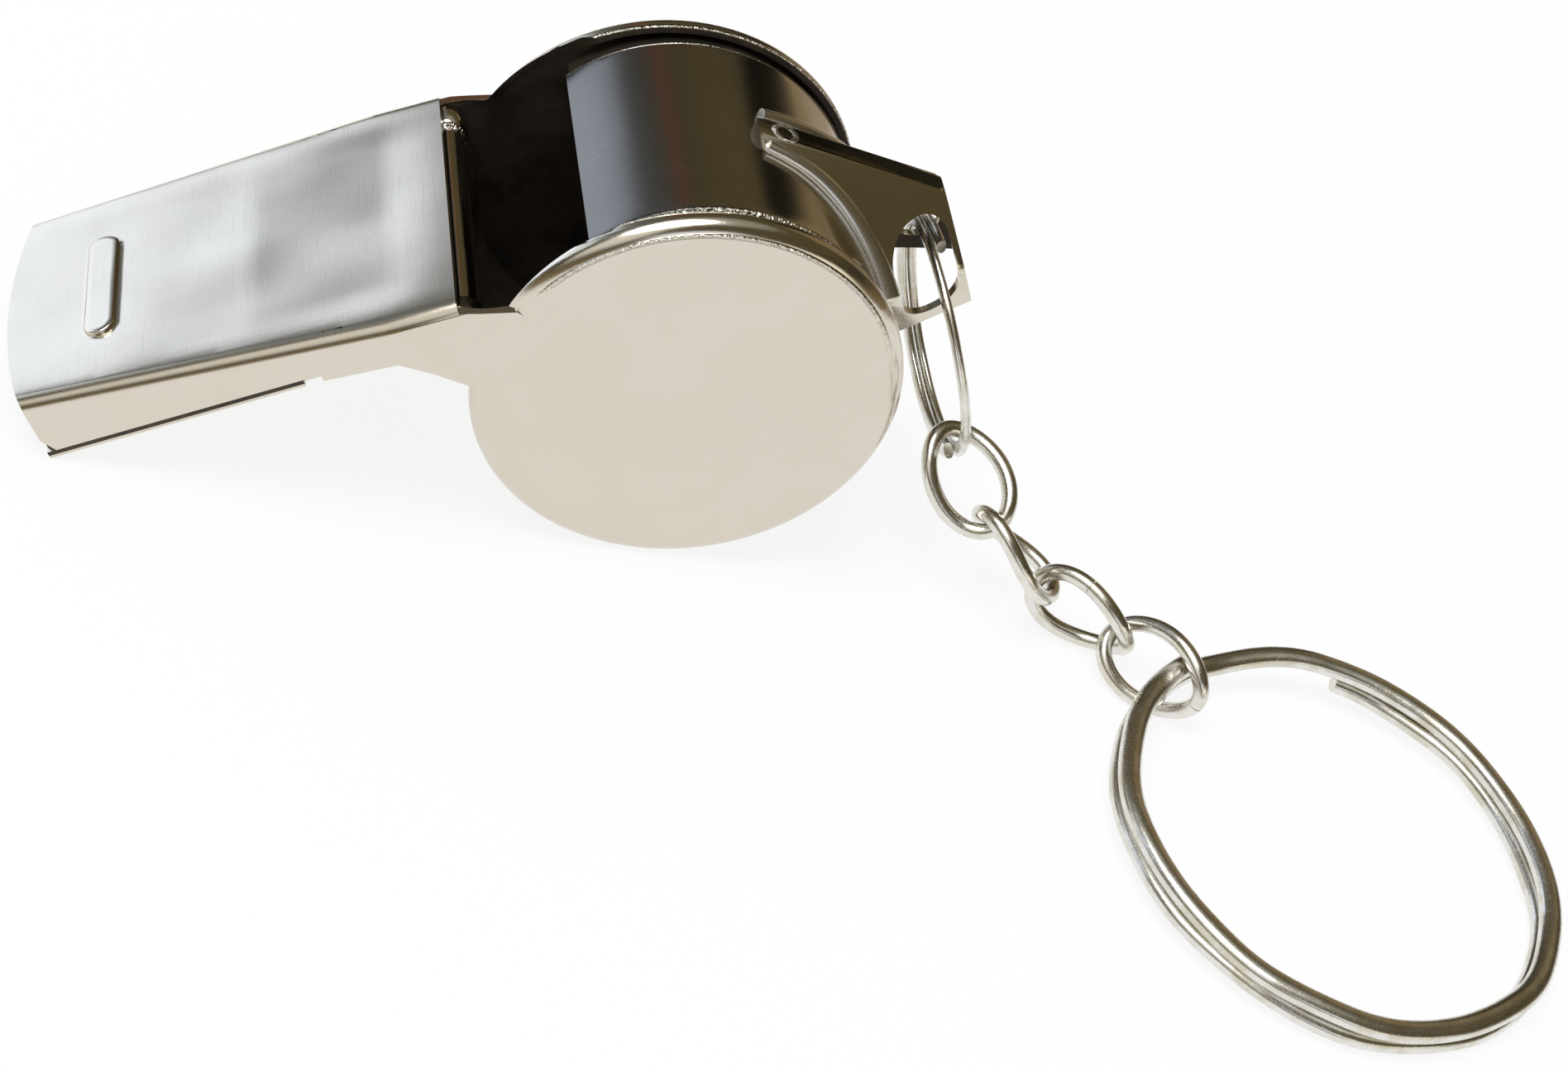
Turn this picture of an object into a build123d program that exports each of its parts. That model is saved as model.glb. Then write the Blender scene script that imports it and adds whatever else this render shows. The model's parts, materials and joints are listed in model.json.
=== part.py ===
from build123d import *
from math import acos, asin, atan2, cos, degrees, hypot, radians, sin
import json
import os

# A pressed-metal pea whistle on its key-chain, in millimetres.
# The whistle is drawn in its own frame: the drum's axis is Y, +X points to the lanyard lug, the mouth
# is at -X and the mouthpiece's top plate is square to Z. It is then tipped until it rests on its drum
# and its mouth.

# Sheet metal and drum
sheet = 0.4
drum_diameter = 21.5
drum_width = 17.5
rim_depth = 0.7
rim_height = 1.35
flange_width = 0.9
flange_run = 6.0
flange_start_angle = 52.0
notch_angle = 24.5

# Mouthpiece, measured from the drum's axis
plate_height = 9.3
plate_fold = 0.8
mouth_reach = 30.6
mouth_bow = 1.0
mouth_width = 14.5
taper_start = 12.6
window_front = 9.0
mouth_edge_height = 6.8
mouth_cut = 0.5
floor_front_height = 5.6
floor_rear_height = 6.8
wing_end = 17.2
wing_notch = 0.9
apex_height = 6.9
neck_reach = 11.15
neck_height = 5.75
slit_reach = 8.4
lip_curl = 0.8
curl_fold = 0.3

# Pressed bead on the top plate
bead_reach = 26.7
bead_length = 7.5
bead_width = 1.6
bead_height = 0.25

# Sounding lip and pea
lip_reach = 2.3
lip_bend_angle = 30.0
lip_bend_drop = 1.75
pea_diameter = 10.2
pea_room = 0.25

# Lanyard lug, a folded roof on the back of the drum: drops are measured down from its ridge
lug_sheet = 0.55
lug_tip_angle = 41.0
lug_foot_angle = 110.0
lug_tip_rise = 0.75
lug_overhang = 4.0
lug_crest_height = 2.0
lug_ridge_width = 1.3
lug_tip_width = 2.6
lug_tip_shoulder = 0.6
lug_foot_width = 12.0
lug_foot_knee = 8.3
lug_base_foot_width = 8.0
lug_shoulder_width = 3.4
lug_end_shoulder = 1.2
lug_end_width = 5.8
lug_end_knee = 3.4
lug_base_end_width = 4.8
lug_end_height = 6.0
lug_hole_back = 1.95
lug_hole_level = -0.6
lug_hole_width = 3.2
lug_hole_height = 5.0
lug_hole_corner = 1.5
lug_dimple_reach = 1.5
lug_dimple = 1.1
lug_dimple_depth = 0.15

# Small split ring through the lug
small_ring_diameter = 13.3
small_ring_radial = 0.84
small_ring_axial = 0.5
small_ring_step_angle = 115.0
small_ring_start_angle = 45.0
small_ring_lean_angle = 20.9
small_ring_tilt_angle = 7.0
small_ring_turn_angle = -3.5
small_ring_ahead = 0.75
small_ring_drop = 0.3
small_ring_pull_angle = 38.2
small_ring_play = 0.32

# Chain: heading, slope and roll of each link, from the ring to the key ring
link_wire = 0.88
link_length = 6.73
link_width = 4.78
link_twist_angle = 45.0
link_gap = 0.16
link_heading_angles = (-57.1, -29.9, -32.3, -45.9)
link_slope_angles = (-25.8, -27.4, -10.7, 0.5)
link_roll_angles = (30.4, 153.2, 99.3, 62.0)

# Key ring
key_ring_diameter = 25.0
key_ring_radial = 1.2
key_ring_axial = 0.95
key_ring_step_angle = 36.0
key_ring_start_angle = 130.0
key_ring_heading_angle = -51.5
key_ring_play = 0.48

# Spare length of cutting bodies
spare = 5.0

# Split rings: gap between the coils, corner radius as a share of the wire, sections along the step
coil_gap = 0.05
coil_corner_share = 0.3
step_shares = (-1.0, -0.6, -0.2, 0.2, 0.6, 1.0)

drum_radius = drum_diameter / 2
half_width = drum_width / 2
inner_half = half_width - sheet
band_radius = drum_radius - sheet
lip_bend_radius = band_radius - lip_bend_drop
lug_crest_reach = drum_radius + lug_overhang
floor_slope = (floor_rear_height - floor_front_height) / (mouth_reach - wing_end)
mouth_taper = (drum_width - mouth_width) / 2 / (mouth_reach - taper_start)


def on_circle(radius, angle):
    """A point of a circle round the drum's axis, the angle in degrees from +X toward +Z."""
    return radius * cos(radians(angle)), radius * sin(radians(angle))


def floor_under(x):
    """Height of the floor sheet's lower face."""
    return floor_front_height + floor_slope * (x + mouth_reach)


def side_face(*points):
    """A face in the whistle's side view from a closed outline of (x, z) points."""
    return Plane.XZ * make_face(Polyline(*points, close=True))


def across(face, half):
    """A side-view face carried across the whistle to both sides."""
    return extrude(face, half, both=True)


def plan_half(x, inset):
    """Half the mouthpiece's width at x, moved inward by inset."""
    narrowing = max(0, -x - taper_start) * mouth_taper
    return half_width - narrowing - inset


def plan_face(reach, inset, bow=0):
    """The mouthpiece and neck seen from above, with a straight or a bowed front."""
    front = plan_half(-reach, inset)
    rear = half_width - inset
    far_side = [(-reach, front), (-taper_start, rear), (0, rear)]
    corners = far_side + [(x, -y) for x, y in reversed(far_side)]
    if bow:
        nose = ThreePointArc(corners[-1], (-reach - bow, 0), corners[0])
    else:
        nose = Line(corners[-1], corners[0])
    return make_face([*Polyline(*corners).edges(), nose])


def drum_cylinder(radius, width):
    """A solid cylinder on the drum's axis."""
    return Rot(90, 0, 0) * Cylinder(radius, width)


def wall_outline():
    """Outline of a side wall and neck: mouth, floor line, wing notch, apex, neck, cheek, window."""
    notch_x, notch_z = on_circle(drum_radius, 180 - notch_angle)
    start_x, start_z = on_circle(band_radius, 180 - flange_start_angle)
    cut_x = mouth_cut - mouth_reach
    step_x = wing_notch - wing_end
    floor_top = [(x, floor_under(x) + sheet) for x in (cut_x, step_x)]
    return [
        (-mouth_reach - mouth_bow, plate_height),
        (-mouth_reach - mouth_bow, mouth_edge_height),
        (-mouth_reach, mouth_edge_height),
        *floor_top,
        (step_x, floor_under(step_x)),
        (-taper_start, apex_height),
        (-neck_reach, neck_height),
        (notch_x, notch_z),
        (0, 0),
        (start_x, start_z),
        (-window_front, plate_height - sheet),
        (-window_front, plate_height),
    ]


def cheeks():
    """Both round cheeks with the flange turned over the drum band, left open at the neck and the window."""
    flat = drum_radius - rim_height
    bulge = EllipticalCenterArc((flat, half_width - rim_depth), rim_height, rim_depth)
    half = [*Polyline(bulge @ 1, (0, half_width), (0, 0), (drum_radius, 0), bulge @ 0).edges(), bulge]
    disc = revolve(make_face(half), Axis.Y)
    rim = disc + mirror(disc, Plane.XZ)
    cup = rim - drum_cylinder(band_radius, 2 * inner_half)
    cup -= drum_cylinder(drum_radius + sheet, drum_width - 2 * flange_width)
    reach = drum_diameter
    opening = (180 - flange_start_angle, 180 - notch_angle)
    neck = side_face((0, 0), *[on_circle(reach, angle) for angle in opening])
    cup -= across(neck, inner_half)
    start_x = on_circle(band_radius, 180 - flange_start_angle)[0]
    flange_edge = half_width - flange_width
    for side in (-1, 1):
        before = start_x - sheet
        corners = [(before, inner_half), (before, flange_edge), (start_x + flange_run, flange_edge)]
        wedge = make_face(Polyline(*[(x, side * y) for x, y in corners], close=True))
        cup -= extrude(wedge, amount=drum_diameter, dir=(0, 0, 1))
    return cup


def bead(length, width, height):
    """A slot-shaped bar across the top plate."""
    slot = Rot(0, 0, 90) * SlotOverall(length, width)
    return extrude(slot, height)


def upper_side_edges(solid):
    """The upper edges that run along the sides, without those across the front and the back."""
    return [e for e in solid.edges().group_by(Axis.Z)[-1] if abs(e.center().Y) > sheet]


def body_shell():
    """Top plate, side walls and cheeks, folded from one sheet."""
    outer = extrude(plan_face(mouth_reach, 0, mouth_bow), plate_height)
    outer = fillet(upper_side_edges(outer), plate_fold)
    hollow = extrude(plan_face(mouth_reach + spare, sheet), plate_height - sheet)
    hollow = fillet(upper_side_edges(hollow), plate_fold - sheet)
    mouthpiece = (outer - hollow) & across(side_face(*wall_outline()), drum_width)
    raised = Pos(-bead_reach, 0, plate_height) * bead(bead_length, bead_width, bead_height)
    raised = fillet(raised.edges().group_by(Axis.Z)[-1], bead_height / 2)
    pressed = bead(bead_length - 2 * sheet, bead_width - 2 * sheet, bead_height)
    return cheeks() + mouthpiece + raised - Pos(-bead_reach, 0, plate_height - sheet) * pressed


def ring_sector(centre, radius, start, size):
    """A curved strip of sheet in the side view, its outer radius given."""
    outer = CenterArc(centre, radius, start, size)
    inner = CenterArc(centre, radius - sheet, start, size)
    ends = [Line(outer @ 0, inner @ 0), Line(outer @ 1, inner @ 1)]
    return Plane.XZ * make_face([outer, inner, *ends])


def drum_band():
    """The strip round the drum: from the air slit down the front, under, behind and over to the lip."""
    bend_at = 90 - lip_bend_angle
    front_at = 180 - notch_angle
    wrap = ring_sector((0, 0), band_radius, front_at, 360 + bend_at - front_at)
    lip_centre = on_circle(band_radius - lip_bend_radius, bend_at)
    lip_at = degrees(acos((-lip_reach - lip_centre[0]) / lip_bend_radius))
    lip = ring_sector(lip_centre, lip_bend_radius, bend_at, lip_at - bend_at)
    low_out = on_circle(band_radius, front_at)
    low_in = on_circle(band_radius - sheet, front_at)
    front_x = -slit_reach - sheet
    high_out = (front_x, floor_under(front_x))
    high_in = (-slit_reach, floor_under(-slit_reach))
    front = side_face(low_out, high_out, high_in, low_in)
    return across(wrap, inner_half) + across(lip, inner_half) + across(front, inner_half)


def mouthpiece_floor():
    """The floor sheet: wings under the side walls, then between the walls up to the air slit."""
    ends = (-mouth_reach, -slit_reach)
    under = [(x, floor_under(x)) for x in ends]
    over = [(x, floor_under(x) + sheet) for x in reversed(ends)]
    slab = across(side_face(*under, *over), drum_width)
    inside = extrude(plan_face(mouth_reach, sheet), plate_height)
    wings = extrude(plan_face(mouth_reach, 0), plate_height) - Pos(drum_width - wing_end, 0, 0) * Box(
        2 * drum_width, 2 * drum_width, 2 * plate_height
    )
    front = floor_under(-mouth_reach)
    curl = Pos(-mouth_reach, 0, front) * Box(
        sheet, drum_width, sheet + lip_curl, align=(Align.MIN, Align.CENTER, Align.MIN)
    )
    floor = (slab & (inside + wings)) + (curl & inside)
    front_edges = floor.edges().filter_by(Axis.Y).group_by(Axis.X)[0]
    return fillet(front_edges.sort_by(Axis.Z)[0:1], curl_fold)


def lug_section(plane, rows, inset):
    """One section of the lug's roof from (drop, width) rows, ridge first; the inner one runs on below."""
    outline = [(drop, width / 2) for drop, width in rows]
    if inset:
        knee, base = [Vector(*point) for point in outline[-2:]]
        outline[-1] = tuple(base + (base - knee).normalized() * spare)[:2]
    outline += [(drop, -half) for drop, half in reversed(outline)]
    face = make_face(Polyline(*outline, close=True))
    if inset:
        face = offset(face, -lug_sheet, kind=Kind.INTERSECTION)
    return plane * face


def lug_planes():
    """Planes of the lug's seat, on a chord of the drum, and of its open end; X runs down from the ridge."""
    tip = Vector(*on_circle(band_radius, 90 - lug_tip_angle))
    chord = Vector(*on_circle(band_radius, 90 - lug_foot_angle)) - tip
    seat = Plane(origin=(tip.X, 0, tip.Y), x_dir=(chord.X, 0, chord.Y), z_dir=(-chord.Y, 0, chord.X))
    end = Plane(origin=(lug_crest_reach, 0, lug_crest_height), x_dir=(0, 0, -1), z_dir=(1, 0, 0))
    return Plane(origin=seat.origin - seat.x_dir * lug_tip_rise, x_dir=seat.x_dir, z_dir=seat.z_dir), end


def lug_roof(inset):
    """The lug as a filled roof between its seat on the drum and its open end."""
    seat, end = lug_planes()
    seat_height = lug_tip_rise + 2 * band_radius * sin(radians(lug_foot_angle - lug_tip_angle) / 2)
    seat_rows = [
        (0, lug_ridge_width),
        (lug_tip_shoulder, lug_tip_width),
        (lug_foot_knee, lug_foot_width),
        (seat_height, lug_base_foot_width),
    ]
    end_rows = [
        (0, lug_ridge_width),
        (lug_end_shoulder, lug_shoulder_width),
        (lug_end_knee, lug_end_width),
        (lug_end_height, lug_base_end_width),
    ]
    end_face = lug_section(end, end_rows, inset)
    if inset:
        seat_face = lug_section(seat.offset(sheet), seat_rows, inset)
        return loft([seat_face, end_face], ruled=True) + extrude(end_face, spare, dir=(1, 0, 0))
    return loft([lug_section(seat, seat_rows, inset), end_face], ruled=True)


def lanyard_lug():
    """The folded roof on the drum's back: open below and behind, holed through both walls, dimpled at its tip."""
    hole = RectangleRounded(lug_hole_width, lug_hole_height, lug_hole_corner)
    hole = Plane.XZ * Pos(lug_crest_reach - lug_hole_back, lug_hole_level) * hole
    lug = lug_roof(False) - lug_roof(True) - across(hole, drum_width)
    seat, end = lug_planes()
    along = (end.origin - seat.origin).normalized()
    spot = seat.origin + along * lug_dimple_reach
    dimple = Cylinder(lug_dimple / 2, 2 * lug_dimple_depth)
    dimple = Plane(origin=spot, x_dir=along, z_dir=(-along.Z, 0, along.X)) * dimple
    return lug - dimple - drum_cylinder(band_radius, drum_width)


def pea_centre():
    """Where the pea lies in the whistle's frame, and the axis that it circles about."""
    back = on_circle(pea_room, 270 + lip_bend_angle)
    orbit = band_radius - sheet - pea_diameter / 2 - lip_dip()
    down = Vector(-sin(rest_pitch), 0, -cos(rest_pitch))
    axis_point = Vector(back[0], 0, back[1])
    return axis_point + down * orbit, axis_point


def lip_dip():
    """How far the bent lip dips inside the drum's circle."""
    lip_centre = on_circle(band_radius - lip_bend_radius, 90 - lip_bend_angle)
    lip_at = acos((-lip_reach - lip_centre[0]) / lip_bend_radius)
    lip_z = lip_centre[1] + lip_bend_radius * sin(lip_at)
    return band_radius - hypot(lip_reach, lip_z)


def split_ring(diameter, radial, axial, step, start):
    """A two-coil split ring round Z: the wire climbs from the lower coil to the upper one over the step."""
    mean = (diameter - radial) / 2
    rise = axial + coil_gap
    section = RectangleRounded(radial, axial, coil_corner_share * min(radial, axial))

    def wire_at(angle, height):
        outward = (cos(radians(angle)), sin(radians(angle)), 0)
        along = (-outward[1], outward[0], 0)
        place = Plane(origin=(mean * outward[0], mean * outward[1], height), x_dir=outward, z_dir=along)
        return place * section

    free_gap = degrees(radial / mean)
    turn = 360 - step - free_gap
    upper = revolve(wire_at(start + step, rise / 2), Axis.Z, turn)
    lower = revolve(wire_at(start + step + free_gap, -rise / 2), Axis.Z, turn)
    middle = start + step / 2
    climb = loft([wire_at(middle + step * s / 2, rise * s * (3 - s * s) / 4) for s in step_shares])
    return upper + lower + climb


def arc_wire(start, tangent, end):
    """Round wire along the arc that leaves start along tangent and reaches end."""
    chord = end - start
    inward = (chord - tangent * chord.dot(tangent)).normalized()
    radius = chord.dot(chord) / (2 * chord.dot(inward))
    angle = 2 * atan2(chord.dot(inward), chord.dot(tangent))
    profile = Plane(origin=start, x_dir=inward, z_dir=tangent) * Circle(link_wire / 2)
    return revolve(profile, Axis(start + inward * radius, inward.cross(tangent) * -1), degrees(angle))


def biarc_wire(start, tangent, end, end_tangent):
    """Round wire along two arcs that join two points with given directions."""
    chord = end - start
    spread = 2 * (1 - tangent.dot(end_tangent))
    pull = 2 * chord.dot(tangent + end_tangent)
    reach = (-pull + (pull * pull + 4 * spread * chord.dot(chord)) ** 0.5) / (2 * spread)
    first = start + tangent * reach
    second = end - end_tangent * reach
    middle = (first + second) / 2
    return arc_wire(start, tangent, middle) + arc_wire(middle, (second - first).normalized(), end)


def chain_link():
    """One twisted oval link: Z along it, X across it, its ends turned opposite ways by half the twist."""
    half_long = (link_length - link_wire) / 2
    half_wide = (link_width - link_wire) / 2
    half_twist = radians(link_twist_angle) / 2
    lean = atan2(half_wide * half_twist, half_long)
    stations = [
        (Vector(half_wide, 0, 0), Vector(0, sin(lean), cos(lean))),
        (Vector(0, 0, half_long), Vector(-cos(half_twist), -sin(half_twist), 0)),
        (Vector(-half_wide, 0, 0), Vector(0, sin(lean), -cos(lean))),
        (Vector(0, 0, -half_long), Vector(cos(half_twist), -sin(half_twist), 0)),
    ]
    quarters = [biarc_wire(*stations[i], *stations[(i + 1) % len(stations)]) for i in range(len(stations))]
    return quarters[0] + quarters[1] + quarters[2] + quarters[3]


def heading(azimuth, slope):
    """Unit vector from a heading in the table's plane and a slope, both in degrees."""
    level = cos(radians(slope))
    return Vector(level * cos(radians(azimuth)), level * sin(radians(azimuth)), sin(radians(slope)))


up = Vector(0, 0, 1)

# The whistle tips about the drum until the front corner of its floor touches the table
corner_angle = atan2(floor_front_height, mouth_reach)
rest_pitch = corner_angle + asin(drum_radius / hypot(mouth_reach, floor_front_height))
rest = Pos(0, 0, drum_radius) * Rot(0, -degrees(rest_pitch), 0)


def on_table(point):
    """A point of the whistle's frame, given where it lies on the table."""
    return (rest * Pos(*point)).position


# Small ring: it hangs from the lug's hole, leaning out and toward the near cheek
hole_x = lug_crest_reach - lug_hole_back
ring_hold = on_table((hole_x + small_ring_ahead, 0, lug_hole_level - small_ring_drop))
lean = radians(small_ring_lean_angle)
tilt = radians(small_ring_tilt_angle)
ring_hang = Vector(sin(lean) * cos(tilt), -sin(tilt), -cos(lean) * cos(tilt))
ring_along = (Vector(0, 1, 0) - ring_hang * ring_hang.Y).normalized()
ring_along = ring_along.rotate(Axis((0, 0, 0), ring_hang), small_ring_turn_angle)
ring_normal = ring_along.cross(ring_hang)
small_mean = (small_ring_diameter - small_ring_radial) / 2
ring_centre = ring_hold + ring_hang * small_mean
ring_place = Plane(origin=ring_centre, x_dir=ring_hang, z_dir=ring_normal).location
ring_pull = ring_hang.rotate(Axis((0, 0, 0), ring_normal), small_ring_pull_angle)

# Chain: each link hooks the one before it
directions = [heading(azimuth, slope) for azimuth, slope in zip(link_heading_angles, link_slope_angles)]
half_long = (link_length - link_wire) / 2
ring_hook = (link_wire + small_ring_radial) / 2 + small_ring_play
link_hook = link_wire + link_gap
tops = [ring_centre + ring_pull * small_mean - directions[0] * ring_hook]
link_places = []
for i, along in enumerate(directions):
    level = up.cross(along).normalized()
    side = level.rotate(Axis((0, 0, 0), along), link_roll_angles[i])
    link_places.append(Plane(origin=tops[i] + along * half_long, x_dir=side, z_dir=along))
    if i + 1 < len(directions):
        tops.append(tops[i] + along * 2 * half_long - (along + directions[i + 1]).normalized() * link_hook)

# Key ring: carried by the last link, its far side on the table
key_thick = 2 * key_ring_axial + coil_gap
key_mean = (key_ring_diameter - key_ring_radial) / 2
key_hook = link_wire / 2 + key_thick / 2 + key_ring_play
key_hold = tops[-1] + directions[-1] * (2 * half_long - key_hook)
key_tilt = asin((key_hold.Z - key_thick / 2) / (2 * key_mean))
key_out = heading(key_ring_heading_angle, -degrees(key_tilt))
key_normal = heading(key_ring_heading_angle, 90 - degrees(key_tilt))
key_place = Plane(origin=key_hold + key_out * key_mean, x_dir=key_out, z_dir=key_normal).location

small_ring = split_ring(
    small_ring_diameter, small_ring_radial, small_ring_axial, small_ring_step_angle, small_ring_start_angle
)
key_ring = split_ring(
    key_ring_diameter, key_ring_radial, key_ring_axial, key_ring_step_angle, key_ring_start_angle
)
nodes = {
    "body_shell": rest * body_shell(),
    "drum_band": rest * drum_band(),
    "mouthpiece_floor": rest * mouthpiece_floor(),
    "lanyard_lug": rest * lanyard_lug(),
    "pea": rest * (Pos(*pea_centre()[0]) * Sphere(pea_diameter / 2)),
    "small_split_ring": ring_place * small_ring,
    "key_ring": key_place * key_ring,
}
link = chain_link()
for i, place in enumerate(link_places):
    nodes[f"chain_link_{i + 1}"] = place.location * link

# The origin is the middle of the whole part's footprint, on the table
box = Compound([solid for node in nodes.values() for solid in node.solids()]).bounding_box()
origin = Pos(-(box.min.X + box.max.X) / 2, -(box.min.Y + box.max.Y) / 2, -box.min.Z)

os.makedirs("parts", exist_ok=True)
for name, node in nodes.items():
    export_step(origin * node, f"parts/{name}.step")

# Hinges: a point and a direction each, in the exported frame
end_turn = radians(link_twist_angle) / 2
hinges = {
    "pea_orbit": (on_table(pea_centre()[1]), Vector(0, 1, 0)),
    "small_ring_swing": (ring_hold, ring_along),
    "chain_link_1_swing": (ring_centre + ring_pull * small_mean, ring_normal.cross(ring_pull)),
}
for i, place in enumerate(link_places):
    child = f"chain_link_{i + 2}_swing" if i + 1 < len(link_places) else "key_ring_swing"
    wire_along = place.x_dir * cos(end_turn) + place.y_dir * sin(end_turn)
    hinges[child] = (place.origin + place.z_dir * half_long, wire_along)
for name, (point, along) in hinges.items():
    shown = (origin * Pos(*point)).position
    print(json.dumps({"hinge": name, "point": [*shown], "along": [*along]}))
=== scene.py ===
import json
from math import acos, asin, atan2, copysign, cos, degrees, hypot, pi, radians, sin

import bmesh
import bpy
from mathutils import Matrix, Vector, noise
from mathutils.geometry import intersect_point_line


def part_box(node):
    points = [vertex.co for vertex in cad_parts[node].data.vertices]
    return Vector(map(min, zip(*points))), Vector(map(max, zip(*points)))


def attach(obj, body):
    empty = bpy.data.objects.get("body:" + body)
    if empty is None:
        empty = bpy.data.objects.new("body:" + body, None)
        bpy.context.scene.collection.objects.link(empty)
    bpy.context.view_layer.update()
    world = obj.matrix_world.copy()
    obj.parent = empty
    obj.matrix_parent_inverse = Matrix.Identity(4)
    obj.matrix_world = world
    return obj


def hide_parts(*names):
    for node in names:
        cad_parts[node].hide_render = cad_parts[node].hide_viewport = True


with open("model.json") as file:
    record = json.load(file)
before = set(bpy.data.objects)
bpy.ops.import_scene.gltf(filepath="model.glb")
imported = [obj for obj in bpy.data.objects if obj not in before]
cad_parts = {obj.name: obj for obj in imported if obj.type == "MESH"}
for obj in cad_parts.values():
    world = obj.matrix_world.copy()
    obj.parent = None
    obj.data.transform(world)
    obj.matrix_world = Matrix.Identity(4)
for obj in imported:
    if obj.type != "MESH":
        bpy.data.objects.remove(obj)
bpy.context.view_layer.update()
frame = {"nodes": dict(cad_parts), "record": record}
record = frame["record"]

mm = 0.001

# The sizes below repeat the part's own, in millimetres.
sheet = 0.4
drum_radius = 10.75
half_width = 8.75
inner_half = half_width - sheet
band_radius = drum_radius - sheet
notch_angle = 24.5
plate_height = 9.3
plate_fold = 0.8
mouth_reach = 30.6
taper_start = 12.6
window_front = 9.0
mouth_width = 14.5
floor_front_height = 5.6
floor_rear_height = 6.8
wing_end = 17.2
floor_slope = (floor_rear_height - floor_front_height) / (mouth_reach - wing_end)
slit_reach = 8.4
lip_reach = 2.3
lip_bend_angle = 30.0
lip_bend_drop = 1.75
bead_reach = 26.7
bead_length = 7.5
bead_width = 1.6
rim_depth = 0.7
rim_height = 1.35
flange_width = 0.9
pea_diameter = 10.2

link_wire = 0.88
link_length = 6.73
link_width = 4.78
link_twist_angle = 45.0
link_gap = 0.16
link_heading_angles = (-57.1, -29.9, -32.3, -45.9)
link_slope_angles = (-25.8, -27.4, -10.7, 0.5)
link_roll_angles = (30.4, 153.2, 99.3, 62.0)

lug_tip_angle = 41.0
lug_foot_angle = 110.0
lug_tip_rise = 0.75
lug_crest_height = 2.0
lug_seat_rows = ((0.0, 1.3), (0.6, 2.6), (8.3, 12.0))
lug_end_rows = ((0.0, 1.3), (1.2, 3.4), (3.4, 5.8))
lug_dimple_reach = 1.5
lug_dimple = 1.1
lug_overhang = 4.0
lug_hole_back = 1.95
lug_hole_level = -0.6
small_ring_diameter = 13.3
small_ring_radial = 0.84
small_ring_axial = 0.5
small_ring_step_angle = 115.0
small_ring_start_angle = 45.0
small_ring_lean_angle = 20.9
small_ring_tilt_angle = 7.0
small_ring_turn_angle = -3.5
small_ring_ahead = 0.75
small_ring_drop = 0.3
small_ring_pull_angle = 38.2
small_ring_play = 0.32
key_ring_diameter = 25.0
key_ring_radial = 1.2
key_ring_axial = 0.95
key_ring_step_angle = 36.0
key_ring_start_angle = 130.0
key_ring_heading_angle = -51.5
key_ring_play = 0.48
coil_gap = 0.05

# Only in the scene, in millimetres: the cheeks' even rims and wider flanges, and the sheets' edges and creases
round_radius = 0.95
round_depth = 0.85
flange_reach = 1.2
flange_edge = 0.14
sheet_edge = 0.05
crease_angle = 32
strip_crease_angle = 50

# The top plate's soft sides, its dish and its ripples
roll_width = 1.5
roll_drop = 0.09
dish_depth = 0.10
dish_length = 10.0
ripple_height = 0.05
ripple_scale = 0.22
plate_step = 0.5

# The lug's rounded ridges and rolled feet, and the height above the floor where the painted shade on the floor's
# wings starts
ridge_round = 0.33
foot_roll = 0.4
foot_roll_growth = 0.4
foot_roll_rise = 0.12
foot_points = 41
foot_halvings = 24
wing_shade_start = 0.16

# The burrs left by the press: how far they reach each side of an edge, how sharp and how high they are
burr_inside = 0.1
burr_outside = 0.14
burr_soft = 0.05
burr_height = 0.2
bar_round = 0.3
bar_height = 0.06

# The fold between the drum strip and the floor, and the strip's sunk borders: how far each row stands
# from the shoulder, and how deep it lies
fold_radius = 0.75
fold_rise = 0.35
border_width = 1.5
border_sink = 0.35
border_rows = ((0.25, border_sink), (0.08, border_sink * 0.6), (0.0, 0.08), (-0.1, 0.01))
flat_inset = 0.25
flat_rows = 21
lip_points = 25
band_points = 160
front_points = 6
fold_points = 8

# The pea's lumps, as scale and share of its radius, and how much smaller they leave it
pea_lumps = ((2.1, 0.010), (7.0, 0.006))
pea_shrink = 0.014

# The wire: the seam of the links, and the waver of the rings as waves per coil, start and share
link_seam_gap = 0.015
link_seam_start = 0.4
link_seam_turn = 1.9
small_ring_waver = 0.012
key_ring_waver = 0.06
waver_waves = ((5.0, 0.0, 1.0), (8.3, 1.0, 0.7), (13.0, 0.0, 0.35))
lift_waves = ((6.4, 2.0, 1.0), (10.7, 0.0, 0.5))
lift_share = 0.45
wire_roundness = 0.92
wire_sides = 28
link_points = 180
ring_points = 560
roll_sides = 20

# The photograph's camera, from the fit to its outlines: millimetres on the table, and degrees
camera_place = (-34.902, -103.417, 89.841)
camera_turn_angles = (47.468, -17.841, -8.438)
camera_lens = 60.007

# The table and the lamp in metres, and the white that the table keeps in its shadows
table_size = 6
table_gap = 0.00002
table_white = 0.86
lamp_place = (-0.25, -0.1, 0.7)
lamp_size = 0.5
lamp_power = 4.0
room_light = 0.55

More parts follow.
